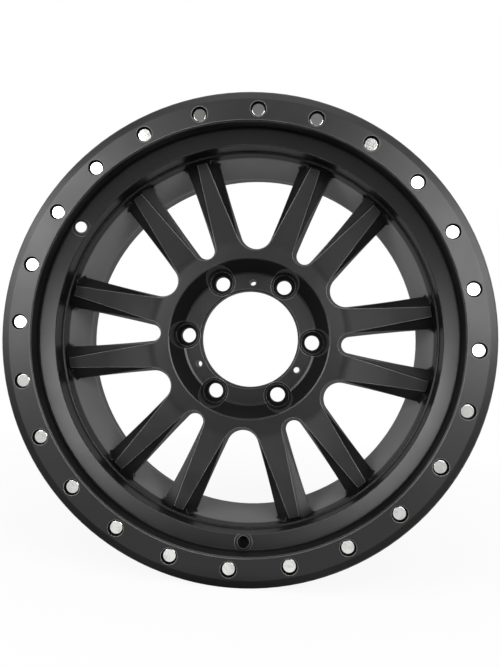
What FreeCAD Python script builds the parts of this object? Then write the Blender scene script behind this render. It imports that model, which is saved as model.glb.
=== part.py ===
import FreeCAD, Part
import os
from math import acos, atan, cos, degrees, hypot, pi, radians, sin, sqrt, tan

Vector = FreeCAD.Vector

# A six-lug off-road car wheel: one aluminium casting, a bolted outer ring and its bolts.
# The axle line is Y, the street side faces -Y, and the origin is the middle of the rim's width.
# All lengths are in millimetres and all angles in degrees.

# Tyre side of the rim
bead_seat_diameter = 436.6
rim_width = 177.8
flange_height = 17.3
front_flange_thickness = 11.0
rear_flange_thickness = 11.5
flange_tip_round = 4.5
bead_heel_round = 6.5
bead_seat_width = 20.0
bead_seat_taper = 5.0
hump_rise = 1.4
hump_width = 12.0
well_bend_round = 40.0
wall_thickness = 8.0

# Street-side dish, each depth taken from the casting's front face
step_radius = 206.6
lip_start_depth = 8.4
lip_end_radius = 193.0
lip_end_depth = 16.2
ledge_radius = 196.2
ledge_depth = 41.5
window_rim_radius = 194.3
window_rim_depth = 42.5
throat_depth = 59.0
well_inner_radius = 187.5
well_front_depth = 101.0
well_rear_depth = 110.0
well_floor_start_depth = 88.0
well_floor_end_depth = 112.0
rear_leg_depth = 152.0
rear_leg_inner_radius = 207.0
rear_mouth_radius = 212.5
mouth_chamfer = 4.0
lip_foot_round = 1.5
edge_round = 1.0
smallest_arc = 44.0
largest_round_share = 0.45

# Hub
wheel_offset = 0.0
bore_diameter = 108.0
bore_lead_in = 3.0
bore_front_round = 1.5
mounting_pad_radius = 90.0
hub_pad_height = 19.0
hub_pad_radius = 73.0
recess_edge_radius = 87.2
recess_edge_height = 36.0
recess_foot_round = 3.0
recess_edge_round = 1.6
pad_step = 6.0

# Lug holes and centre-cap screw holes
lug_count = 6
lug_circle = 139.7
lug_hole_diameter = 16.6
lug_seat_diameter = 25.0
lug_seat_angle = 60.0
lug_pocket_diameter = 29.0
lug_pocket_depth = 2.2
lug_pocket_draft = 9.0
cap_screw_count = 3
cap_screw_circle = 125.4
cap_screw_hole_diameter = 6.5

# Spokes: the face runs from the flat web round the hub up to the outer end in two slopes
web_edge_radius = 107.0
spoke_knee_radius = 151.0
spoke_knee_rise = 11.0
spoke_end_radius = 192.0
spoke_end_rise = 20.0
web_bend_round = 45.0
knee_bend_round = 70.0
spoke_end_drop = 4.0
spoke_back_rise = 31.0

# Windows: each outline is a wedge with a round inner end, given as (apex radius, half angle)
narrow_face_wedge = (-16.1, 5.8)
narrow_back_wedge = (48.4, 7.7)
wide_face_wedge = (52.0, 17.8)
wide_back_wedge = (69.9, 19.8)
window_face_tip = 96.0
window_back_tip = 103.0

# Flank bevels: each starts at the web's edge and widens to the spoke's end
narrow_crest_wedge = (59.3, 14.5)
narrow_shelf_rise = 10.0
narrow_crest_wall = 2.4
wide_bevel_draft = 32.5

# Feet: the round corners where the spokes' sides run into the rim
foot_round = 6.0
foot_overlap = 1.5

# Lightening pockets in the back
spoke_pocket_width = 15.0
spoke_pocket_inner = 126.0
spoke_pocket_outer = 176.0
spoke_pocket_angle = 12.2
spoke_skin = 12.0
hub_pocket_radius = 77.5
hub_pocket_length = 30.0
hub_pocket_width = 13.0
hub_pocket_depth = 9.0

# Valve holes in the lip
valve_hole_diameter = 11.5
valve_spot_diameter = 17.0
valve_spot_depth = 0.8
valve_tilt = 25.0
open_valve_angle = 150.0
open_valve_depth = 60.0
blind_valve_angle = 273.2
blind_valve_depth = 12.0

# Outer ring and its bolts
ring_thickness = 12.0
ring_inner_radius = 206.2
ring_bevel_width = 8.1
ring_bevel_depth = 1.9
ring_inner_chamfer = 1.2
ring_edge_round = 1.5
bolt_count = 24
bolt_circle_radius = 217.8
bolt_diameter = 8.0
bolt_thread_length = 9.0
bolt_hole_spare_depth = 1.0
bolt_head_flats = 13.0
bolt_head_height = 5.5
bolt_head_chamfer = 0.6
head_recess_diameter = 15.4
head_recess_depth = 7.5
thread_clearance = 0.1
bolt_hole_clearance = 0.5
bolt_turn_step = 37.0

# Places that follow from the sizes
bead_seat_radius = bead_seat_diameter / 2
flange_radius = bead_seat_radius + flange_height
front_flange_y = -rim_width / 2
rear_flange_y = rim_width / 2
front_y = front_flange_y - front_flange_thickness
rear_y = rear_flange_y + rear_flange_thickness
ring_front_y = front_y - ring_thickness
mounting_y = -wheel_offset
bore_radius = bore_diameter / 2
lug_radius = lug_circle / 2
hub_pad_y = mounting_y - hub_pad_height
web_y = mounting_y - recess_edge_height
spoke_knee_y = web_y - spoke_knee_rise
spoke_end_y = web_y - spoke_end_rise
web_back_y = mounting_y - pad_step
spoke_root_radius = mounting_pad_radius + pad_step
spoke_back_y = web_back_y - spoke_back_rise
reach = 2 * flange_radius
axle = Vector(0, 1, 0)


def depth_y(depth):
    """Y of a depth below the casting's front face."""
    return front_y + depth


def unit(start, end):
    """Direction and distance from one plane point to another."""
    length = hypot(end[0] - start[0], end[1] - start[1])
    return ((end[0] - start[0]) / length, (end[1] - start[1]) / length), length


def round_points(corner, before, after, bend, count):
    """Points spread evenly along the tangent arc that rounds a corner between its two neighbours."""
    (ax, ay), before_length = unit(corner, before)
    (bx, by), after_length = unit(corner, after)
    opening = acos(max(-1.0, min(1.0, ax * bx + ay * by)))
    turn = pi - opening
    tangent = min(bend / tan(opening / 2), largest_round_share * min(before_length, after_length))
    distance = tangent / cos(opening / 2)
    middle = 2 * cos(opening / 2)
    centre_x = corner[0] + (ax + bx) / middle * distance
    centre_y = corner[1] + (ay + by) / middle * distance
    points = []
    for step in range(count + 1):
        from_entry = sin((1 - step / count) * turn) / sin(turn)
        from_leave = sin(step / count * turn) / sin(turn)
        entry_part = (corner[0] + ax * tangent - centre_x, corner[1] + ay * tangent - centre_y)
        leave_part = (corner[0] + bx * tangent - centre_x, corner[1] + by * tangent - centre_y)
        x = centre_x + from_entry * entry_part[0] + from_leave * leave_part[0]
        y = centre_y + from_entry * entry_part[1] + from_leave * leave_part[1]
        points.append(Vector(x, y, 0))
    return points


def rounded_outline(corners):
    """Closed wire in the XY plane through corners (x, y, round).

    A round from smallest_arc up is a tangent arc, and a smaller edge break is one flat.
    """
    count = len(corners)
    edges = []
    ends = []
    for index, (x, y, bend) in enumerate(corners):
        before = corners[index - 1]
        after = corners[(index + 1) % count]
        if bend == 0:
            ends.append((Vector(x, y, 0), Vector(x, y, 0)))
        elif bend < smallest_arc:
            entry, leave = round_points((x, y), before, after, bend, 1)
            edges.append(Part.makeLine(entry, leave))
            ends.append((entry, leave))
        else:
            entry, middle, leave = round_points((x, y), before, after, bend, 2)
            edges.append(Part.Arc(entry, middle, leave).toShape())
            ends.append((entry, leave))
    for index in range(count):
        edges.append(Part.makeLine(ends[index][1], ends[(index + 1) % count][0]))
    return Part.Wire(Part.__sortEdges__(edges))


def turned(corners):
    """Solid of revolution about the axle from corners (radius, y, round)."""
    face = Part.Face(rounded_outline(corners))
    return face.revolve(Vector(0, 0, 0), axle, 360)


def at_angle(shape, angle):
    """Copy of a shape turned about the axle, anticlockwise as seen from the street side."""
    copy = shape.copy()
    copy.rotate(Vector(0, 0, 0), axle, -angle)
    return copy


def pattern(shape, count, start=0.0):
    """Copies of a shape spaced evenly round the axle."""
    return [at_angle(shape, start + index * 360.0 / count) for index in range(count)]


def axial_cylinder(diameter, radius, y_from, y_to):
    """Cylinder along the axle direction at a radius on the +X side."""
    return Part.makeCylinder(diameter / 2, y_to - y_from, Vector(radius, y_from, 0), axle)


def axial_cone(diameter_from, diameter_to, radius, y_from, y_to):
    """Cone along the axle direction at a radius on the +X side."""
    return Part.makeCone(diameter_from / 2, diameter_to / 2, y_to - y_from, Vector(radius, y_from, 0), axle)


def make_rim():
    """Barrel with both flanges, bead seats, humps, the drop centre and the dish's lip."""
    seat_drop = bead_seat_width * tan(radians(bead_seat_taper))
    seat_end_radius = bead_seat_radius - seat_drop
    hump_radius = seat_end_radius + hump_rise
    window_rim_y = depth_y(window_rim_depth)
    front_seat_y = front_flange_y + bead_seat_width
    rear_seat_y = rear_flange_y - bead_seat_width
    tyre_side = [
        (flange_radius, front_y, 0),
        (flange_radius, front_flange_y, flange_tip_round),
        (bead_seat_radius, front_flange_y, bead_heel_round),
        (seat_end_radius, front_seat_y, 0),
        (hump_radius, front_seat_y + hump_width / 2, 0),
        (window_rim_radius + wall_thickness, window_rim_y + wall_thickness, 0),
        (window_rim_radius + wall_thickness, depth_y(throat_depth), 0),
        (well_inner_radius + wall_thickness, depth_y(well_floor_start_depth), well_bend_round),
        (well_inner_radius + wall_thickness, depth_y(well_floor_end_depth), well_bend_round),
        (seat_end_radius - hump_rise, rear_seat_y - 1.5 * hump_width, 0),
        (hump_radius, rear_seat_y - hump_width / 2, 0),
        (seat_end_radius, rear_seat_y, 0),
        (bead_seat_radius, rear_flange_y, bead_heel_round),
        (flange_radius, rear_flange_y, flange_tip_round),
        (flange_radius, rear_y, flange_tip_round),
    ]
    inside = [
        (rear_mouth_radius, rear_y, mouth_chamfer),
        (rear_mouth_radius, rear_seat_y, 0),
        (rear_leg_inner_radius, depth_y(rear_leg_depth), 0),
        (well_inner_radius, depth_y(well_rear_depth), well_bend_round),
        (well_inner_radius, depth_y(well_front_depth), 0),
        (window_rim_radius, depth_y(throat_depth), 0),
        (window_rim_radius, window_rim_y, edge_round),
        (ledge_radius, depth_y(ledge_depth), 0),
        (lip_end_radius, depth_y(lip_end_depth), edge_round),
        (step_radius, depth_y(lip_start_depth), lip_foot_round),
        (step_radius, front_y, 0),
    ]
    return turned(tyre_side + inside)


def make_disc():
    """Hub, web and spoke face as one turned plate, before the windows are cut."""
    groove_y = spoke_end_y + spoke_end_drop
    root_in_wall = window_rim_radius + wall_thickness / 2
    back_in_wall = well_inner_radius + wall_thickness / 2
    return turned([
        (bore_radius, hub_pad_y, bore_front_round),
        (hub_pad_radius, hub_pad_y, recess_foot_round),
        (recess_edge_radius, web_y, recess_edge_round),
        (web_edge_radius, web_y, web_bend_round),
        (spoke_knee_radius, spoke_knee_y, knee_bend_round),
        (spoke_end_radius, spoke_end_y, edge_round),
        (spoke_end_radius, groove_y, 0),
        (root_in_wall, groove_y, 0),
        (back_in_wall, spoke_back_y, 0),
        (spoke_root_radius, web_back_y, 2 * pad_step),
        (mounting_pad_radius, mounting_y, edge_round),
        (bore_radius + bore_lead_in, mounting_y, 0),
        (bore_radius, mounting_y - bore_lead_in, 0),
    ])


def wedge_width(wedge, radius):
    """Half width of a wedge at a distance out along its middle line."""
    apex, half_angle = wedge
    return (radius - apex) * tan(radians(half_angle))


def wedge_outline(wedge, tip, y):
    """Round-ended wedge along +X at one Y, its round tangent to both sides."""
    apex, half_angle = wedge
    lean = radians(half_angle)
    tip_round = (tip - apex) * sin(lean) / (1 - sin(lean))
    touch = tip + tip_round - tip_round * sin(lean)
    touch_width = tip_round * cos(lean)
    outer_width = wedge_width(wedge, flange_radius)
    round_end = Part.Arc(Vector(touch, y, -touch_width), Vector(tip, y, 0), Vector(touch, y, touch_width))
    upper = Part.makeLine(Vector(touch, y, touch_width), Vector(flange_radius, y, outer_width))
    outer = Part.makeLine(Vector(flange_radius, y, outer_width), Vector(flange_radius, y, -outer_width))
    lower = Part.makeLine(Vector(flange_radius, y, -outer_width), Vector(touch, y, -touch_width))
    return Part.Wire([round_end.toShape(), upper, outer, lower])


def make_window(face_wedge, back_wedge):
    """Window between two spokes: straight in front of the web, drafted through it, straight behind."""
    face = wedge_outline(face_wedge, window_face_tip, web_y)
    back = wedge_outline(back_wedge, window_back_tip, web_back_y)
    front_part = Part.Face(face).extrude(Vector(0, front_y - web_y, 0))
    drafted_part = Part.makeLoft([face, back], True, True)
    rear_part = Part.Face(back).extrude(Vector(0, mounting_y - web_back_y, 0))
    return [front_part, drafted_part, rear_part]


def pyramid(tip, base):
    """Solid with flat faces from a tip to a closed base polygon."""
    faces = [Part.Face(Part.makePolygon(base + base[:1]))]
    for start, end in zip(base, base[1:] + base[:1]):
        faces.append(Part.Face(Part.makePolygon([tip, start, end, tip])))
    solid = Part.makeSolid(Part.makeShell(faces))
    if solid.Volume < 0:
        solid.reverse()
    return solid


def mirrored(shape):
    """Copy of a shape on the other side of the +X line."""
    return shape.mirror(Vector(0, 0, 0), Vector(0, 0, 1))


def make_narrow_bevel():
    """Cut on a narrow window's side: a steep crest wall above a sloping shelf."""
    start_width = wedge_width(narrow_face_wedge, web_edge_radius)
    tip = Vector(web_edge_radius, web_y, start_width)
    edge = wedge_width(narrow_face_wedge, flange_radius)
    crest = wedge_width(narrow_crest_wedge, flange_radius)
    grow = (flange_radius - web_edge_radius) / (spoke_end_radius - web_edge_radius)
    edge_y = web_y - grow * narrow_shelf_rise
    foot_y = web_y - grow * (spoke_end_rise - narrow_crest_wall)
    base = [
        Vector(flange_radius, edge_y, edge),
        Vector(flange_radius, foot_y, crest),
        Vector(flange_radius, 2 * front_y, crest),
        Vector(flange_radius, 2 * front_y, 0),
        Vector(flange_radius, edge_y, 0),
    ]
    return pyramid(tip, base)


def make_wide_bevel():
    """Cut on a wide window's side: one steep plane from the window's edge to the spoke's face."""
    start_width = wedge_width(wide_face_wedge, web_edge_radius)
    tip = Vector(web_edge_radius, web_y, start_width)
    edge = wedge_width(wide_face_wedge, flange_radius)
    lean = radians(wide_face_wedge[1])
    top = edge + (web_y - 2 * front_y) * tan(radians(wide_bevel_draft)) / cos(lean)
    base = [
        Vector(flange_radius, web_y, edge),
        Vector(flange_radius, 2 * front_y, top),
        Vector(flange_radius, 2 * front_y, 0),
        Vector(flange_radius, web_y, 0),
    ]
    return pyramid(tip, base)


def far_point(start, along, radius):
    """Point on a line in the plane of the wheel at a distance from the axle, on the far side of its start."""
    return start + along * (sqrt(radius ** 2 - start.cross(along).Length ** 2) - start.dot(along))


def foot_outline(wedge, shift, y):
    """Outline at one Y of the round corner between the rim and a wedge's side that is shifted along Z."""
    apex, half_angle = wedge
    lean = radians(half_angle)
    along = Vector(cos(lean), 0, sin(lean))
    inward = Vector(sin(lean), 0, -cos(lean))
    centre = far_point(Vector(apex, 0, shift) + inward * foot_round, along, window_rim_radius - foot_round)
    on_side = centre - inward * foot_round
    on_rim = centre * (window_rim_radius / (window_rim_radius - foot_round))
    middle = centre + (on_side + on_rim - centre * 2).normalize() * foot_round
    in_side = on_side - inward * foot_overlap
    corner = far_point(in_side, along, window_rim_radius + foot_overlap)
    in_rim = on_rim * ((window_rim_radius + foot_overlap) / window_rim_radius)
    level = Vector(0, y, 0)
    edges = [Part.Arc(on_side + level, middle + level, on_rim + level).toShape()]
    hidden = [on_rim, in_rim, corner, in_side, on_side]
    for start, end in zip(hidden, hidden[1:]):
        edges.append(Part.makeLine(start + level, end + level))
    return Part.Wire(edges)


def make_feet():
    """Round corners between the rim and both sides of every spoke."""
    slant = tan(radians(wide_bevel_draft)) / cos(radians(wide_face_wedge[1]))
    narrow_levels = (web_y - narrow_shelf_rise, spoke_back_y)
    wide_levels = (spoke_end_y + spoke_end_drop, spoke_back_y)
    narrow = [foot_outline(narrow_face_wedge, 0, y) for y in narrow_levels]
    wide = [foot_outline(wide_face_wedge, (web_y - y) * slant, y) for y in wide_levels]
    feet = []
    for outlines, first_angle in ((narrow, 0), (wide, 180.0 / lug_count)):
        foot = Part.makeLoft(outlines, True, True)
        feet += pattern(foot, lug_count, first_angle) + pattern(mirrored(foot), lug_count, first_angle)
    return feet


def stadium(length, width, y):
    """Round-ended slot outline along X, centred on the axle, at one Y."""
    half = (length - width) / 2
    side = width / 2
    near = Part.Arc(Vector(-half, y, side), Vector(-half - side, y, 0), Vector(-half, y, -side))
    far = Part.Arc(Vector(half, y, -side), Vector(half + side, y, 0), Vector(half, y, side))
    lower = Part.makeLine(Vector(-half, y, -side), Vector(half, y, -side))
    upper = Part.makeLine(Vector(half, y, side), Vector(-half, y, side))
    return Part.Wire([near.toShape(), lower, far.toShape(), upper])


def make_spoke_pockets():
    """Troughs in the spokes' backs, whose floors slope with the spoke face above them."""
    length = spoke_pocket_outer - spoke_pocket_inner
    middle = (spoke_pocket_inner + spoke_pocket_outer) / 2
    slope = spoke_end_rise / (spoke_end_radius - web_edge_radius)
    floor_y = web_y + spoke_skin - slope * (middle - web_edge_radius)
    outline = Part.Face(stadium(length, spoke_pocket_width, web_back_y + pad_step))
    slot = outline.extrude(Vector(0, -2 * recess_edge_height, 0))
    keep_out = Part.makeBox(2 * reach, reach, 2 * reach, Vector(-reach, -reach, -reach))
    keep_out.rotate(Vector(0, 0, 0), Vector(0, 0, 1), -degrees(atan(slope)))
    keep_out.translate(Vector(0, floor_y, 0))
    trough = slot.cut(keep_out)
    trough.translate(Vector(middle, 0, 0))
    pockets = []
    for side in (-1, 1):
        pockets += pattern(trough, lug_count, side * spoke_pocket_angle)
    return pockets


def make_hub_pockets():
    """Shallow slots in the mounting face between the lug holes."""
    slot = Part.Face(stadium(hub_pocket_length, hub_pocket_width, mounting_y - hub_pocket_depth))
    slot = slot.extrude(Vector(0, hub_pocket_depth + edge_round, 0))
    slot.rotate(Vector(0, 0, 0), axle, 90)
    slot.translate(Vector(hub_pocket_radius, 0, 0))
    return pattern(slot, lug_count, 180.0 / lug_count)


def make_lug_holes():
    """Through holes with a conical nut seat in a drafted pocket."""
    seat_y = hub_pad_y + lug_pocket_depth
    seat_depth = (lug_seat_diameter - lug_hole_diameter) / 2 / tan(radians(lug_seat_angle / 2))
    pocket_height = seat_y - web_y + edge_round
    mouth_diameter = lug_pocket_diameter + 2 * pocket_height * tan(radians(lug_pocket_draft))
    hole = axial_cylinder(lug_hole_diameter, lug_radius, seat_y, mounting_y + edge_round)
    seat = axial_cone(lug_seat_diameter, lug_hole_diameter, lug_radius, seat_y, seat_y + seat_depth)
    pocket = axial_cone(mouth_diameter, lug_pocket_diameter, lug_radius, seat_y - pocket_height, seat_y)
    return pattern(hole.fuse([seat, pocket]), lug_count)


def make_cap_screw_holes():
    """Small through holes for the centre cap's screws."""
    radius = cap_screw_circle / 2
    start_y = hub_pad_y - edge_round
    hole = axial_cylinder(cap_screw_hole_diameter, radius, start_y, mounting_y + edge_round)
    return pattern(hole, cap_screw_count, 90)


def make_valve_hole(depth):
    """Spot-faced hole square to a line that leans outwards from the middle of the lip."""
    lip_radius = (step_radius + lip_end_radius) / 2
    lip_y = depth_y((lip_start_depth + lip_end_depth) / 2)
    lean = radians(valve_tilt)
    direction = Vector(sin(lean), cos(lean), 0)
    middle = Vector(lip_radius, lip_y, 0)
    hole = Part.makeCylinder(valve_hole_diameter / 2, depth, middle, direction)
    spot_start = middle - direction * valve_spot_diameter
    spot_depth = valve_spot_diameter + valve_spot_depth
    spot = Part.makeCylinder(valve_spot_diameter / 2, spot_depth, spot_start, direction)
    return hole.fuse(spot)


def make_bolt_threads():
    """Blind threaded holes in the casting's front flange, with their threads left plain."""
    depth = bolt_thread_length + bolt_hole_spare_depth
    diameter = bolt_diameter + 2 * thread_clearance
    hole = axial_cylinder(diameter, bolt_circle_radius, front_y - edge_round, front_y + depth)
    return pattern(hole, bolt_count)


def make_casting():
    """The whole one-piece casting with its machined holes."""
    disc = make_disc()
    narrow_bevel = make_narrow_bevel()
    wide_bevel = make_wide_bevel()
    narrow_cuts = make_window(narrow_face_wedge, narrow_back_wedge) + [narrow_bevel, mirrored(narrow_bevel)]
    wide_cuts = make_window(wide_face_wedge, wide_back_wedge) + [wide_bevel, mirrored(wide_bevel)]
    for cut in narrow_cuts:
        disc = disc.cut(pattern(cut, lug_count))
    for cut in wide_cuts:
        disc = disc.cut(pattern(cut, lug_count, 180.0 / lug_count))
    disc = disc.cut(make_spoke_pockets())
    casting = make_rim().fuse([disc] + make_feet())
    holes = make_lug_holes() + make_cap_screw_holes() + make_hub_pockets() + make_bolt_threads()
    holes.append(at_angle(make_valve_hole(open_valve_depth), open_valve_angle))
    holes.append(at_angle(make_valve_hole(blind_valve_depth), blind_valve_angle))
    return casting.cut(holes).removeSplitter()


def make_outer_ring():
    """Flat ring on the front flange with a bevelled rim and a recess for each bolt head."""
    ring = turned([
        (ring_inner_radius + ring_inner_chamfer, ring_front_y, 0),
        (flange_radius - ring_bevel_width, ring_front_y, ring_edge_round),
        (flange_radius, ring_front_y + ring_bevel_depth, ring_edge_round),
        (flange_radius, front_y, 0),
        (ring_inner_radius, front_y, 0),
        (ring_inner_radius, ring_front_y + ring_inner_chamfer, 0),
    ])
    recess_floor = ring_front_y + head_recess_depth
    start_y = ring_front_y - edge_round
    recess = axial_cylinder(head_recess_diameter, bolt_circle_radius, start_y, recess_floor)
    hole_diameter = bolt_diameter + 2 * bolt_hole_clearance
    hole = axial_cylinder(hole_diameter, bolt_circle_radius, start_y, front_y + edge_round)
    return ring.cut(pattern(recess.fuse(hole), bolt_count))


def make_bolt():
    """Hex-headed bolt at the +X side, head seated in its recess and shank in its thread."""
    seat_y = ring_front_y + head_recess_depth
    top_y = seat_y - bolt_head_height
    corner_radius = bolt_head_flats / 2 / cos(radians(30))
    points = []
    for index in range(7):
        angle = radians(60 * index)
        points.append(Vector(corner_radius * cos(angle), top_y, corner_radius * sin(angle)))
    head = Part.Face(Part.makePolygon(points)).extrude(Vector(0, bolt_head_height, 0))
    top_edges = [edge for edge in head.Edges if abs(edge.CenterOfMass.y - top_y) < bolt_head_chamfer / 2]
    head = head.makeChamfer(bolt_head_chamfer, top_edges)
    shank_length = front_y + bolt_thread_length - seat_y
    shank = Part.makeCylinder(bolt_diameter / 2, shank_length, Vector(0, seat_y, 0), axle)
    return head.fuse(shank)


def make_ring_bolts():
    """All the ring's bolts, each stopped at its own turn when it was tightened."""
    bolts = []
    for index in range(bolt_count):
        bolt = make_bolt()
        bolt.rotate(Vector(0, 0, 0), axle, index * bolt_turn_step)
        bolt.translate(Vector(bolt_circle_radius, 0, 0))
        bolts.append(at_angle(bolt, index * 360.0 / bolt_count))
    return Part.makeCompound(bolts)


os.makedirs("parts", exist_ok=True)
make_casting().exportStep("parts/wheel_casting.step")
make_outer_ring().exportStep("parts/outer_ring.step")
make_ring_bolts().exportStep("parts/ring_bolts.step")
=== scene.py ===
from math import cos, pi, radians, sin, tan

import bmesh
import bpy
import numpy as np
from bpy.props import FloatProperty, FloatVectorProperty, IntProperty, PointerProperty
from mathutils import Matrix, Vector


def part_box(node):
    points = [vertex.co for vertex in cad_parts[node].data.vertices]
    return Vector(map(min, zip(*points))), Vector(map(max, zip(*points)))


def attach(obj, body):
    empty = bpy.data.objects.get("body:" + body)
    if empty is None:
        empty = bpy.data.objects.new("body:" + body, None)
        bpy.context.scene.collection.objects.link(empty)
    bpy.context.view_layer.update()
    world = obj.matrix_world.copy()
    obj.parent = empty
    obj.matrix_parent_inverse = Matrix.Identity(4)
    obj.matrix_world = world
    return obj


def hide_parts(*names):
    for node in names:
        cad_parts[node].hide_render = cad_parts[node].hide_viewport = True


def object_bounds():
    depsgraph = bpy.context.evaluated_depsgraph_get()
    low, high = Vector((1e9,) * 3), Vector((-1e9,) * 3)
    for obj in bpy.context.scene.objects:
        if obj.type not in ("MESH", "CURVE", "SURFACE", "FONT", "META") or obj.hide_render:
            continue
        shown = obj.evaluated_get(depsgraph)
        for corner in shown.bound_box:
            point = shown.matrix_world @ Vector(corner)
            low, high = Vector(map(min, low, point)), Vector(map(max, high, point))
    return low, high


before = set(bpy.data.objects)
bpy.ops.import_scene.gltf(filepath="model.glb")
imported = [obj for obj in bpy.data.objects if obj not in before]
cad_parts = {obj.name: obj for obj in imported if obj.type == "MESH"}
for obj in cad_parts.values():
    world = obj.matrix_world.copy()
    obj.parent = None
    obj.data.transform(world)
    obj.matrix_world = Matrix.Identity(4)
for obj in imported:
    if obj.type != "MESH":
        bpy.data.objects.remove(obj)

bl_info = {
    "name": "Bolted Ring Car Wheel",
    "version": (1, 0, 0),
    "blender": (4, 5, 0),
    "location": "3D View > Sidebar > Wheel",
    "description": "Dresses a cast car wheel, its bolted outer ring and the ring's bolts, and lights them",
    "category": "Object",
}

# The axle line is Y, the street side faces -Y and Z is up, all in metres.
IMAGE_SIZE = (500, 667)
BOLT_LOW, BOLT_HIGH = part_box("ring_bolts")
WHEEL_LOW, WHEEL_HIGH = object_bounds()

# Meshes: the distance within which points are one, and how finely each bolt is divided.
MERGE_DISTANCE = 2e-6
BOLT_COLUMNS = 36
HEAD_TOP_ROWS = 4
HEAD_CONE_ROWS = 4
ROWS_IN_THREAD_TURN = 4

# Patterns of the finishes, each as its repeats in a metre and its levels of detail.
CLOUD_PATTERN = (18.0, 4.0)
STAIN_PATTERN = (160.0, 3.0)
SCRATCH_PATTERN = (1800.0, 2.0)
GRAIN_DETAIL = 3.0

# Black coat: its refraction, and the darkest and lightest share of its colour.
COAT_IOR = 1.56
SHADE_SHARES = (0.85, 1.15)

# Share of the shine left in inside corners, a painted shade, and the share of the painted edge highlight
# that lies all along the edges.
SHADED_CORNER_SHINE = 0.2
LEAST_EDGE_HIGHLIGHT = 0.5

# Values of the cloud and stain patterns between which a finish, and the painted edge highlight, changes.
GLOSS_CLOUD = (0.3, 0.7)
EDGE_HIGHLIGHT_CLOUD = (0.35, 0.65)
DULL_STAIN = (0.5, 0.75)
ROUGH_STAIN = (0.35, 0.7)

# An edge is where the rounded and the true normal part: cosines on a full edge and off it.
EDGE_AGREEMENT = (0.8, 0.99)

# Open share of the surroundings where the painted shade of a corner or crease is darkest, and where it ends.
CORNER_OPENNESS = (0.5, 0.95)
CREASE_OPENNESS = (0.65, 0.95)

# Cosines of a face's normal to the outward direction between which the barrel's painted light, a lighter
# grey, ends.
BARREL_LIGHT_FACING = (-0.85, -0.7)

# How far a direction points backwards, from where the backdrop begins to where it is full.
BACKDROP_TURN = (0.1, 0.4)

# Samples of the nodes that look round a point, the two directions across the axle, and plain white.
SHADER_SAMPLES = 6
ACROSS_AXLE = (1.0, 0.0, 1.0)
WHITE = (1.0, 1.0, 1.0)


class CoatSettings(bpy.types.PropertyGroup):
    """Finish of the black coat on the casting and the ring, with its painted edge highlight, its painted
    shade in inside corners and its painted light inside the barrel.
    """

    casting_colour: FloatVectorProperty(
        name="Casting Colour", description="Black coat of the cast wheel",
        subtype="COLOR", default=(0.004, 0.004, 0.0042), min=0.0, max=1.0)
    ring_colour: FloatVectorProperty(
        name="Ring Colour", description="Black coat of the bolted ring",
        subtype="COLOR", default=(0.005, 0.005, 0.0052), min=0.0, max=1.0)
    # Painted highlight: a lighter colour along the sharp edges, standing in for the light that they catch.
    edge_highlight_colour: FloatVectorProperty(
        name="Edge Colour", description="Thin, lighter coat along the sharp edges",
        subtype="COLOR", default=(0.4, 0.4, 0.41), min=0.0, max=1.0)
    # Painted light: a lighter grey inside the barrel behind the throat, standing in for the backdrop's light
    # there, with the depths and radius that bound it.
    barrel_light_colour: FloatVectorProperty(
        name="Barrel Colour", description="Thin grey coat inside the barrel, behind the throat",
        subtype="COLOR", default=(0.125, 0.125, 0.127), min=0.0, max=1.0)
    barrel_light_reach: FloatVectorProperty(
        name="Barrel Reach",
        description="Depths along the axle between which the black coat gives way to the grey",
        size=2, unit="LENGTH", default=(-0.046, -0.042), precision=4)
    barrel_light_radius: FloatProperty(
        name="Barrel Radius", description="Radius outside which the barrel's grey coat lies",
        unit="LENGTH", default=0.18, precision=4)
    casting_gloss: FloatVectorProperty(
        name="Casting Roughness", description="Lowest and highest roughness of the cast wheel's coat",
        size=2, default=(0.3, 0.38), min=0.0, max=1.0)
    ring_gloss: FloatVectorProperty(
        name="Ring Roughness", description="Lowest and highest roughness of the ring's coat",
        size=2, default=(0.34, 0.44), min=0.0, max=1.0)
    casting_shine: FloatProperty(
        name="Casting Shine", description="Strength of the reflections in the cast wheel's coat",
        subtype="FACTOR", default=0.46, min=0.0, max=1.0)
    ring_shine: FloatProperty(
        name="Ring Shine", description="Strength of the reflections in the ring's coat",
        subtype="FACTOR", default=0.5, min=0.0, max=1.0)
    grain_size: FloatProperty(
        name="Grain Size", description="Width of one grain of the powder coat",
        unit="LENGTH", default=0.0012, precision=4)
    grain_height: FloatProperty(
        name="Grain Height", description="Height of the coat's grain",
        unit="LENGTH", default=0.00004, precision=5)
    edge_round: FloatProperty(
        name="Edge Round", description="Radius of the coat over a sharp edge",
        unit="LENGTH", default=0.0011, precision=4)
    # Painted shade: inside corners keep less of the coat's shine over this distance.
    corner_reach: FloatProperty(
        name="Corner Reach", description="Distance over which the inside corners are darker",
        unit="LENGTH", default=0.02, precision=4)
    # Painted shade, darkest right beside an inside corner.
    crease_reach: FloatProperty(
        name="Crease Reach",
        description="Distance over which the coat is darkest beside an inside corner",
        unit="LENGTH", default=0.004, precision=4)
    crease_angle: FloatProperty(
        name="Crease Angle", description="Faces that meet at a sharper angle keep a crease",
        subtype="ANGLE", default=radians(20))


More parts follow.
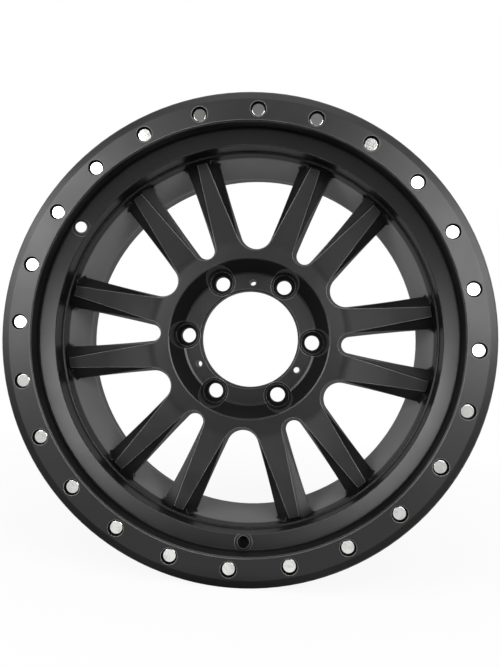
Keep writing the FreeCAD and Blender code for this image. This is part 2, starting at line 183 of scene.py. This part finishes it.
class BoltSettings(bpy.types.PropertyGroup):
    """Sizes and finish of the ring's bolts."""

    count: IntProperty(
        name="Count", description="Bolts round the ring", default=24, min=3)
    circle_radius: FloatProperty(
        name="Circle Radius", description="Radius of the circle through the bolts",
        unit="LENGTH", default=0.2178, precision=4)
    across_flats: FloatProperty(
        name="Across Flats", description="Width of the hexagonal head between two flats",
        unit="LENGTH", default=0.013, precision=4)
    head_height: FloatProperty(
        name="Head Height", description="Height of the head above its seat",
        unit="LENGTH", default=0.0055, precision=4)
    chamfer_slope: FloatProperty(
        name="Chamfer Slope", description="Slope of the turned chamfer round the head's top",
        subtype="ANGLE", default=radians(30))
    flat_share: FloatProperty(
        name="Flat Share",
        description="Radius of the flat top as a share of half the width across flats",
        subtype="FACTOR", default=0.9, min=0.1, max=1.0)
    shank_diameter: FloatProperty(
        name="Shank Diameter", description="Outside diameter of the thread",
        unit="LENGTH", default=0.008, precision=4)
    thread_pitch: FloatProperty(
        name="Thread Pitch", description="Distance between two turns of the thread",
        unit="LENGTH", default=0.00125, precision=5)
    thread_depth: FloatProperty(
        name="Thread Depth", description="Depth of the thread's groove",
        unit="LENGTH", default=0.0007, precision=5)
    turn_step: FloatProperty(
        name="Turn Step", description="Turn of each head from the one before it",
        subtype="ANGLE", default=radians(37))
    crease_angle: FloatProperty(
        name="Crease Angle", description="Faces that meet at a sharper angle keep a crease",
        subtype="ANGLE", default=radians(25))
    edge_round: FloatProperty(
        name="Edge Round", description="Radius of the head's edges",
        unit="LENGTH", default=0.0004, precision=4)
    scratch_depth: FloatProperty(
        name="Scratch Depth", description="Depth of the fine scratches in the plating",
        unit="LENGTH", default=0.00001, precision=5)
    colour: FloatVectorProperty(
        name="Bolt Colour", description="Bright plated steel",
        subtype="COLOR", default=(0.9, 0.895, 0.87), min=0.0, max=1.0)
    stain_colour: FloatVectorProperty(
        name="Stain Colour", description="Dull patches in the plating",
        subtype="COLOR", default=(0.7, 0.69, 0.66), min=0.0, max=1.0)
    gloss: FloatVectorProperty(
        name="Bolt Roughness", description="Lowest and highest roughness of the plating",
        size=2, default=(0.11, 0.18), min=0.0, max=1.0)


class StudioSettings(bpy.types.PropertyGroup):
    """Camera, lamps, floor and background."""

    camera_place: FloatVectorProperty(
        name="Camera Place", description="Where the camera stands",
        subtype="TRANSLATION", unit="LENGTH", default=(0.0382, WHEEL_LOW.y - 0.5194, -0.0162))
    camera_aim: FloatVectorProperty(
        name="Camera Aim", description="Direction in which the camera looks",
        subtype="DIRECTION", default=(-0.0618, 0.997, 0.0359))
    camera_roll: FloatProperty(
        name="Camera Roll", description="Turn of the camera, anticlockwise as seen from the street",
        subtype="ANGLE", default=radians(3.71))
    focal_pixels: FloatProperty(
        name="Focal Length in Pixels", description="Distance from the lens to the picture, in pixels",
        subtype="PIXEL", default=552.6)
    right_lamp_place: FloatVectorProperty(
        name="Right Lamp Place", description="Middle of the right-hand softbox",
        subtype="TRANSLATION", unit="LENGTH", default=(0.76, -1.15, 0.37))
    left_lamp_place: FloatVectorProperty(
        name="Left Lamp Place", description="Middle of the left-hand softbox",
        subtype="TRANSLATION", unit="LENGTH", default=(-0.89, -1.15, 0.35))
    side_lamp_size: FloatVectorProperty(
        name="Side Lamp Size", description="Width and height of each side softbox",
        size=2, unit="LENGTH", default=(0.9, 0.7))
    side_lamp_power: FloatProperty(
        name="Side Lamp Power", description="Power of each side softbox",
        unit="POWER", default=13.5)
    top_lamp_place: FloatVectorProperty(
        name="Top Lamp Place", description="Middle of the softbox above the wheel",
        subtype="TRANSLATION", unit="LENGTH", default=(0.0, -0.55, 1.1))
    top_lamp_size: FloatVectorProperty(
        name="Top Lamp Size", description="Width and depth of the softbox above the wheel",
        size=2, unit="LENGTH", default=(1.0, 0.6))
    top_lamp_power: FloatProperty(
        name="Top Lamp Power", description="Power of the softbox above the wheel",
        unit="POWER", default=3.2)
    room_light: FloatProperty(
        name="Room Light", description="Even light from the studio's walls", default=0.5)
    front_reflection: FloatVectorProperty(
        name="Front Reflection",
        description="Brightness of the studio behind the camera, low down and high up, in reflections",
        size=2, default=(0.95, 0.15))
    side_reflection: FloatProperty(
        name="Side Reflection", description="Brightness of the studio's sides, in reflections",
        default=0.05)
    back_reflection: FloatProperty(
        name="Back Reflection",
        description="Brightness of the backdrop behind the wheel, in reflections",
        default=0.25)
    camera_shade: FloatProperty(
        name="Camera Shade",
        description="Share of the front's brightness left in the dark middle behind the camera",
        subtype="FACTOR", default=0.35, min=0.0, max=1.0)
    shade_reach: FloatVectorProperty(
        name="Shade Reach", description="Angles from straight ahead between which the dark middle ends",
        size=2, unit="ROTATION", default=(radians(12), radians(20)))
    front_reach: FloatVectorProperty(
        name="Front Reach",
        description="Angles from straight ahead between which the front fades to the sides",
        size=2, unit="ROTATION", default=(radians(25), radians(45)))
    floor_colour: FloatVectorProperty(
        name="Floor Colour", description="Pale floor under the wheel",
        subtype="COLOR", default=(0.85, 0.85, 0.85), min=0.0, max=1.0)
    floor_size: FloatProperty(
        name="Floor Size", description="Width and depth of the floor",
        unit="LENGTH", default=8.0)
    shadow_share: FloatProperty(
        name="Shadow Share", description="How much of the floor's look comes from the lamps and shadows",
        subtype="FACTOR", default=0.1, min=0.0, max=1.0)
    shadow_reach: FloatVectorProperty(
        name="Shadow Reach",
        description="Distances from the wheel between which the floor fades to white",
        size=2, unit="LENGTH", default=(0.35, 1.0))


class WheelSettings(bpy.types.PropertyGroup):
    """All the settings of the wheel and its studio."""

    coat: PointerProperty(
        name="Coat", description="Finish of the casting and the ring", type=CoatSettings)
    bolts: PointerProperty(
        name="Bolts", description="Sizes and finish of the ring's bolts", type=BoltSettings)
    studio: PointerProperty(
        name="Studio", description="Camera, lamps, floor and background", type=StudioSettings)


class NodeBoard:
    """A material's or world's node tree with short ways to add and link nodes."""

    def __init__(self, owner):
        owner.use_nodes = True
        self.tree = owner.node_tree
        self.tree.nodes.clear()

    def feed(self, target, value):
        """Links another node's output to the target input, or gives it a plain value or colour."""
        if isinstance(value, bpy.types.NodeSocket):
            self.tree.links.new(value, target)
        elif target.type == "RGBA":
            target.default_value = (*value, 1.0)
        else:
            target.default_value = value

    def add(self, kind, inputs=None, **options):
        """New node with the given options and with its inputs fed."""
        node = self.tree.nodes.new(kind)
        for name, value in options.items():
            setattr(node, name, value)
        for socket, value in (inputs or {}).items():
            self.feed(node.inputs[socket], value)
        return node

    def math(self, operation, first, second):
        """Result of an operation on two numbers."""
        return self.add("ShaderNodeMath", {0: first, 1: second}, operation=operation).outputs[0]

    def product(self, first, *others):
        """Product of several numbers."""
        result = first
        for factor in others:
            result = self.math("MULTIPLY", result, factor)
        return result

    def vector(self, operation, *vectors):
        """Result of an operation on vectors, which is a number for a length or a dot product."""
        node = self.add("ShaderNodeVectorMath", dict(enumerate(vectors)), operation=operation)
        gives_number = operation in ("LENGTH", "DOT_PRODUCT")
        return node.outputs["Value" if gives_number else "Vector"]

    def parts(self, vector):
        """X, Y and Z of a vector, by their names."""
        return self.add("ShaderNodeSeparateXYZ", {0: vector}).outputs

    def spread(self, source, low, high, source_low=0.0, source_high=1.0):
        """Maps a source's range onto low to high, and holds it there."""
        limits = {"From Min": source_low, "From Max": source_high, "To Min": low, "To Max": high}
        return self.add("ShaderNodeMapRange", {"Value": source, **limits}, clamp=True).outputs["Result"]

    def noise(self, place, scale, detail):
        """Cloudy pattern from 0 to 1."""
        inputs = {"Vector": place, "Scale": scale, "Detail": detail}
        return self.add("ShaderNodeTexNoise", inputs).outputs["Fac"]

    def mix_colour(self, factor, first, second):
        """Colour that goes from the first to the second as the factor rises."""
        node = self.add("ShaderNodeMix", {"Factor": factor}, data_type="RGBA")
        targets = [socket for socket in node.inputs if socket.type == "RGBA"]
        for target, colour in zip(targets, (first, second)):
            self.feed(target, colour)
        return [socket for socket in node.outputs if socket.type == "RGBA"][0]

    def mix_shader(self, factor, first, second):
        """Surface or light that goes from the first to the second as the factor rises."""
        return self.add("ShaderNodeMixShader", {0: factor, 1: first, 2: second}).outputs["Shader"]

    def rounded_normal(self, radius):
        """Normal that turns over a sharp edge as if it had the given radius."""
        return self.add("ShaderNodeBevel", {"Radius": radius}, samples=SHADER_SAMPLES).outputs["Normal"]

    def bump(self, pattern, height, normal):
        """Normal of a surface that a pattern raises by up to the given height."""
        inputs = {"Strength": 1.0, "Distance": height, "Height": pattern, "Normal": normal}
        return self.add("ShaderNodeBump", inputs).outputs["Normal"]

    def true_normal(self):
        """Normal of the mesh itself."""
        return self.add("ShaderNodeNewGeometry").outputs["Normal"]

    def object_place(self):
        """Place on the piece, in its own frame."""
        return self.add("ShaderNodeTexCoord").outputs["Object"]


def barrel_light_share(board, place, coat):
    """1 where the barrel's inside behind the throat gets its painted light, 0 elsewhere.

    A point counts if it lies deep enough along the axle and far enough from it,
    and if its face looks at the axle.
    """
    across = board.vector("MULTIPLY", place, ACROSS_AXLE)
    facing = board.vector("DOT_PRODUCT", board.true_normal(), board.vector("NORMALIZE", across))
    deep = board.spread(board.parts(place)["Y"], 0.0, 1.0, *coat.barrel_light_reach)
    inside = board.spread(facing, 1.0, 0.0, *BARREL_LIGHT_FACING)
    outer = board.math("GREATER_THAN", board.vector("LENGTH", across), coat.barrel_light_radius)
    return board.product(deep, inside, outer)


def openness(board, reach, limits):
    """0 deep in an inside corner, 1 where little stands within the given reach."""
    surroundings = board.add("ShaderNodeAmbientOcclusion", {"Distance": reach}, samples=SHADER_SAMPLES)
    return board.spread(surroundings.outputs["AO"], 0.0, 1.0, *limits)


def coat_material(name, coat, colour, gloss, shine, paint_barrel_light=False):
    """Satin powder coat with fine grain and patchy gloss.

    Sharp edges are rounded and carry a patchy painted highlight, and inside corners have painted shade in
    their shine.
    """
    material = bpy.data.materials.new(name)
    board = NodeBoard(material)
    place = board.object_place()
    grain = board.noise(place, 1.0 / coat.grain_size, GRAIN_DETAIL)
    cloud = board.noise(place, *CLOUD_PATTERN)
    rounded = board.rounded_normal(coat.edge_round)
    agreement = board.vector("DOT_PRODUCT", rounded, board.true_normal())
    on_edge = board.spread(agreement, 1.0, 0.0, *EDGE_AGREEMENT)
    off_corners = openness(board, coat.corner_reach, CORNER_OPENNESS)
    off_creases = openness(board, coat.crease_reach, CREASE_OPENNESS)
    open_share = board.product(off_corners, off_creases)
    # Painted highlight along the sharp edges, patchy by the cloud pattern and kept out of inside corners.
    edge_highlight_share = board.product(on_edge, board.spread(cloud, LEAST_EDGE_HIGHLIGHT, 1.0, *EDGE_HIGHLIGHT_CLOUD), open_share)
    darkest, lightest = ([share * value for value in colour] for share in SHADE_SHARES)
    shade = board.mix_colour(cloud, darkest, lightest)
    # Painted light: the barrel's inside behind the throat turns a lighter grey.
    if paint_barrel_light:
        shade = board.mix_colour(barrel_light_share(board, place, coat), shade, coat.barrel_light_colour)
    surface = board.add("ShaderNodeBsdfPrincipled", {
        "Base Color": board.mix_colour(edge_highlight_share, shade, coat.edge_highlight_colour),
        "Roughness": board.spread(cloud, *gloss, *GLOSS_CLOUD),
        "IOR": COAT_IOR,
        # Painted shade: in inside corners and creases the shine falls to a share of itself.
        "Specular IOR Level": board.spread(open_share, SHADED_CORNER_SHINE * shine, shine),
        "Normal": board.bump(grain, coat.grain_height, rounded),
    })
    board.add("ShaderNodeOutputMaterial", {"Surface": surface.outputs["BSDF"]})
    return material


def bolt_material(bolts):
    """Bright plated steel with dull patches and fine scratches."""
    material = bpy.data.materials.new("bright_plating")
    board = NodeBoard(material)
    place = board.object_place()
    stains = board.noise(place, *STAIN_PATTERN)
    scratches = board.noise(place, *SCRATCH_PATTERN)
    dull = board.spread(stains, 0.0, 1.0, *DULL_STAIN)
    surface = board.add("ShaderNodeBsdfPrincipled", {
        "Base Color": board.mix_colour(dull, bolts.colour, bolts.stain_colour),
        "Metallic": 1.0,
        "Roughness": board.spread(stains, *bolts.gloss, *ROUGH_STAIN),
        "Normal": board.bump(scratches, bolts.scratch_depth, board.rounded_normal(bolts.edge_round)),
    })
    board.add("ShaderNodeOutputMaterial", {"Surface": surface.outputs["BSDF"]})
    return material


def add_piece(name, mesh, material, node):
    """Puts a finished mesh into the scene in place of a CAD node."""
    piece = bpy.data.objects.new(name, mesh)
    bpy.context.scene.collection.objects.link(piece)
    mesh.materials.clear()
    mesh.materials.append(material)
    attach(piece, "root")
    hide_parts(node)
    return piece


def merge_mesh(mesh, crease):
    """Joins a mesh's equal points, turns its faces outwards and shades it smooth between creases."""
    work = bmesh.new()
    work.from_mesh(mesh)
    bmesh.ops.remove_doubles(work, verts=work.verts, dist=MERGE_DISTANCE)
    bmesh.ops.dissolve_degenerate(work, edges=work.edges, dist=MERGE_DISTANCE)
    bmesh.ops.recalc_face_normals(work, faces=work.faces)
    work.to_mesh(mesh)
    work.free()
    mesh.shade_smooth()
    mesh.set_sharp_from_angle(angle=crease)


def smooth_copy(node, crease):
    """Merged copy of a CAD node's loose triangles."""
    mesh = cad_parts[node].data.copy()
    mesh.name = node + "_skin"
    if mesh.has_custom_normals:
        mesh.attributes.remove(mesh.attributes["custom_normal"])
    merge_mesh(mesh, crease)
    return mesh


def keep_flats_flat(piece):
    """Keeps each large face's own direction, so that only the small ones round an edge bend the light."""
    modifier = piece.modifiers.new("Flat faces", "WEIGHTED_NORMAL")
    modifier.mode = "FACE_AREA"
    modifier.keep_sharp = True


def grid_mesh(name, points):
    """Mesh from surfaces given as (surface, row, column, xyz), closed round each row."""
    surfaces, rows, columns, _ = points.shape
    index = np.arange(surfaces * rows * columns).reshape(surfaces, rows, columns)
    here = index[:, :-1]
    there = index[:, 1:]
    quads = np.stack([here, np.roll(here, -1, axis=2), np.roll(there, -1, axis=2), there], axis=-1)
    mesh = bpy.data.meshes.new(name)
    mesh.from_pydata(points.reshape(-1, 3), [], quads.reshape(-1, 4))
    return mesh


def bolt_surface(bolts, shank_length):
    """One bolt as radius and height over rows down its outline and columns round its axis.

    The head's top is flat out to a circle, then falls as a cone until it meets the hexagon,
    whose radius is half the width across flats over the cosine of the angle from the nearest flat.
    The shank's radius is the thread's less a triangle wave that climbs one pitch in each turn.
    """
    angle = np.arange(BOLT_COLUMNS) * 2 * pi / BOLT_COLUMNS
    zero_row = np.zeros((1, BOLT_COLUMNS))
    half_flats = bolts.across_flats / 2
    hexagon = half_flats / np.cos(np.mod(angle, pi / 3) - pi / 6)
    flat_radius = bolts.flat_share * half_flats
    top_rows = np.linspace(0.0, 1.0, HEAD_TOP_ROWS)[:, None] * flat_radius + zero_row
    cone_share = np.linspace(0.0, 1.0, HEAD_CONE_ROWS + 1)[1:, None]
    cone_rows = flat_radius + cone_share * (hexagon - flat_radius)
    cone_heights = bolts.head_height - (cone_rows - flat_radius) * tan(bolts.chamfer_slope)
    turns = shank_length / bolts.thread_pitch
    depth = np.linspace(0.0, shank_length, int(ROWS_IN_THREAD_TURN * turns))[:, None]
    phase = np.mod(depth / bolts.thread_pitch + angle / (2 * pi), 1.0)
    thread = bolts.shank_diameter / 2 - bolts.thread_depth * np.abs(2 * phase - 1)
    radius = np.concatenate([top_rows, cone_rows, hexagon[None], thread, zero_row])
    height = np.concatenate([
        np.full_like(top_rows, bolts.head_height),
        cone_heights,
        zero_row,
        zero_row - depth,
        zero_row - shank_length,
    ])
    return radius, height, angle


def all_bolts(bolts):
    """Every bolt's surface: one bolt's outline, turned by its own angle and set on the bolt circle."""
    seat_y = BOLT_LOW.y + bolts.head_height
    radius, height, angle = bolt_surface(bolts, BOLT_HIGH.y - seat_y)
    number = np.arange(bolts.count)
    place = (number * 2 * pi / bolts.count)[:, None, None]
    turn = place - (number * bolts.turn_step)[:, None, None] + angle
    x = bolts.circle_radius * np.cos(place) + radius * np.cos(turn)
    z = bolts.circle_radius * np.sin(place) + radius * np.sin(turn)
    y = np.broadcast_to(seat_y - height, x.shape)
    return np.stack([x, y, z], axis=-1)


def background_factor(board):
    """1 for the camera's rays and for reflected and refracted ones, 0 for the light on surfaces."""
    path = board.add("ShaderNodeLightPath").outputs
    straight = board.math("ADD", path["Is Camera Ray"], path["Is Glossy Ray"])
    return board.math("MINIMUM", board.math("ADD", straight, path["Is Transmission Ray"]), 1.0)


def floor_material(studio):
    """Floor lit by the lamps, and plain white where the camera sees it.

    Near the wheel a small share of the lit floor stays in that white, so a faint shadow shows.
    """
    material = bpy.data.materials.new("pale_floor")
    board = NodeBoard(material)
    distance = board.vector("LENGTH", board.object_place())
    shaded = board.spread(distance, studio.shadow_share, 0.0, *studio.shadow_reach)
    white_share = board.product(background_factor(board), board.math("SUBTRACT", 1.0, shaded))
    lit = board.add("ShaderNodeBsdfDiffuse", {"Color": studio.floor_colour})
    white = board.add("ShaderNodeEmission", {"Color": WHITE, "Strength": 1.0})
    look = board.mix_shader(white_share, lit.outputs["BSDF"], white.outputs["Emission"])
    board.add("ShaderNodeOutputMaterial", {"Surface": look})
    return material


def make_floor(studio):
    """Flat floor at the wheel's lowest point, left out of reflections."""
    half = studio.floor_size / 2
    corners = [(-half, -half), (half, -half), (half, half), (-half, half)]
    mesh = bpy.data.meshes.new("studio_floor")
    mesh.from_pydata([(x, y, WHEEL_LOW.z) for x, y in corners], [], [(0, 1, 2, 3)])
    mesh.materials.append(floor_material(studio))
    floor = bpy.data.objects.new("studio_floor", mesh)
    floor.visible_glossy = False
    bpy.context.scene.collection.objects.link(floor)


def make_background(scene, studio):
    """White for the camera, even light on surfaces, and a studio that reflections see.

    The studio's front is brighter low down and has a dark middle behind the camera.
    Its sides are dim, and the backdrop behind the wheel is between the two.
    """
    world = bpy.data.worlds.new("studio")
    scene.world = world
    board = NodeBoard(world)
    direction = board.parts(board.add("ShaderNodeTexCoord").outputs["Generated"])
    near, far = studio.front_reach
    shade_near, shade_far = studio.shade_reach
    ahead = board.spread(direction["Y"], 1.0, 0.0, -cos(near), -cos(far))
    middle = board.spread(direction["Y"], studio.camera_shade, 1.0, -cos(shade_near), -cos(shade_far))
    by_height = board.spread(direction["Z"], *studio.front_reflection, -sin(near), sin(near))
    front = board.math("MAXIMUM", board.product(ahead, middle, by_height), studio.side_reflection)
    backdrop = board.spread(direction["Y"], 0.0, studio.back_reflection, *BACKDROP_TURN)
    camera_ray = board.add("ShaderNodeLightPath").outputs["Is Camera Ray"]
    brightness = board.math("MAXIMUM", board.math("MAXIMUM", front, backdrop), camera_ray)
    seen = board.add("ShaderNodeBackground", {"Color": WHITE, "Strength": brightness})
    room = board.add("ShaderNodeBackground", {"Color": WHITE, "Strength": studio.room_light})
    look = board.mix_shader(background_factor(board), room.outputs["Background"], seen.outputs["Background"])
    board.add("ShaderNodeOutputWorld", {"Surface": look})


def add_softbox(name, place, size, power):
    """Rectangular lamp that faces the middle of the wheel."""
    lamp = bpy.data.lights.new(name, "AREA")
    lamp.shape = "RECTANGLE"
    lamp.size, lamp.size_y = size
    lamp.energy = power
    softbox = bpy.data.objects.new(name, lamp)
    softbox.location = place
    softbox.rotation_mode = "QUATERNION"
    softbox.rotation_quaternion = (-Vector(place)).to_track_quat("-Z", "Y")
    bpy.context.scene.collection.objects.link(softbox)


def make_lamps(studio):
    """A softbox on each side and one above."""
    add_softbox("right_softbox", studio.right_lamp_place, studio.side_lamp_size, studio.side_lamp_power)
    add_softbox("left_softbox", studio.left_lamp_place, studio.side_lamp_size, studio.side_lamp_power)
    add_softbox("top_softbox", studio.top_lamp_place, studio.top_lamp_size, studio.top_lamp_power)


def make_camera(scene, studio):
    """Close camera in front of the wheel, rolled a little."""
    lens = bpy.data.cameras.new("street_camera")
    lens.lens = lens.sensor_width * studio.focal_pixels / max(IMAGE_SIZE)
    camera = bpy.data.objects.new("street_camera", lens)
    aim = Vector(studio.camera_aim).normalized()
    upright = Vector((-sin(studio.camera_roll), 0.0, cos(studio.camera_roll)))
    right = aim.cross(upright).normalized()
    turn = Matrix((right, right.cross(aim), -aim)).transposed()
    camera.rotation_mode = "QUATERNION"
    camera.rotation_quaternion = turn.to_quaternion()
    camera.location = studio.camera_place
    scene.collection.objects.link(camera)
    scene.camera = camera


class WHEEL_OT_casting(bpy.types.Operator):
    """Dress the one-piece cast wheel in its satin black coat"""

    bl_idname = "wheel.casting"
    bl_label = "Cast Wheel"

    def execute(self, context):
        coat = context.scene.wheel.coat
        material = coat_material(
            "casting_coat", coat, coat.casting_colour, coat.casting_gloss, coat.casting_shine,
            paint_barrel_light=True)
        mesh = smooth_copy("wheel_casting", coat.crease_angle)
        keep_flats_flat(add_piece("cast_wheel", mesh, material, "wheel_casting"))
        return {"FINISHED"}


class WHEEL_OT_outer_ring(bpy.types.Operator):
    """Dress the bolted outer ring in its satin black coat"""

    bl_idname = "wheel.outer_ring"
    bl_label = "Outer Ring"

    def execute(self, context):
        coat = context.scene.wheel.coat
        material = coat_material("ring_coat", coat, coat.ring_colour, coat.ring_gloss, coat.ring_shine)
        mesh = smooth_copy("outer_ring", coat.crease_angle)
        keep_flats_flat(add_piece("bolted_ring", mesh, material, "outer_ring"))
        return {"FINISHED"}


class WHEEL_OT_ring_bolts(bpy.types.Operator):
    """Make the ring's bolts with chamfered heads and threaded shanks"""

    bl_idname = "wheel.ring_bolts"
    bl_label = "Ring Bolts"

    def execute(self, context):
        bolts = context.scene.wheel.bolts
        mesh = grid_mesh("hex_bolts", all_bolts(bolts))
        merge_mesh(mesh, bolts.crease_angle)
        add_piece("hex_bolts", mesh, bolt_material(bolts), "ring_bolts")
        return {"FINISHED"}


class WHEEL_OT_stage(bpy.types.Operator):
    """Set up the floor, background, lamps and camera"""

    bl_idname = "wheel.stage"
    bl_label = "Studio"

    def execute(self, context):
        studio = context.scene.wheel.studio
        make_floor(studio)
        make_background(context.scene, studio)
        make_lamps(studio)
        make_camera(context.scene, studio)
        context.scene.view_settings.view_transform = "Standard"
        return {"FINISHED"}


class WHEEL_PT_sidebar(bpy.types.Panel):
    """Buttons for each piece of the wheel and for its studio, and their settings"""

    bl_idname = "WHEEL_PT_sidebar"
    bl_label = "Car Wheel"
    bl_space_type = "VIEW_3D"
    bl_region_type = "UI"
    bl_category = "Wheel"

    def draw(self, context):
        for operator in OPERATORS:
            self.layout.operator(operator.bl_idname)
        wheel = context.scene.wheel
        for settings in (wheel.coat, wheel.bolts, wheel.studio):
            box = self.layout.box()
            for name in type(settings).__annotations__:
                box.prop(settings, name)


SETTINGS = (CoatSettings, BoltSettings, StudioSettings, WheelSettings)
OPERATORS = (WHEEL_OT_casting, WHEEL_OT_outer_ring, WHEEL_OT_ring_bolts, WHEEL_OT_stage)
CLASSES = SETTINGS + OPERATORS + (WHEEL_PT_sidebar,)


def register():
    """Adds the settings, operators and panel."""
    for item in CLASSES:
        bpy.utils.register_class(item)
    bpy.types.Scene.wheel = PointerProperty(
        name="Wheel", description="Settings of the wheel and its studio", type=WheelSettings)


def unregister():
    """Takes the settings, operators and panel away."""
    del bpy.types.Scene.wheel
    for item in reversed(CLASSES):
        bpy.utils.unregister_class(item)


def main():
    """Makes every piece and the studio."""
    register()
    bpy.ops.wheel.casting()
    bpy.ops.wheel.outer_ring()
    bpy.ops.wheel.ring_bolts()
    bpy.ops.wheel.stage()


if __name__ == "__main__":
    main()
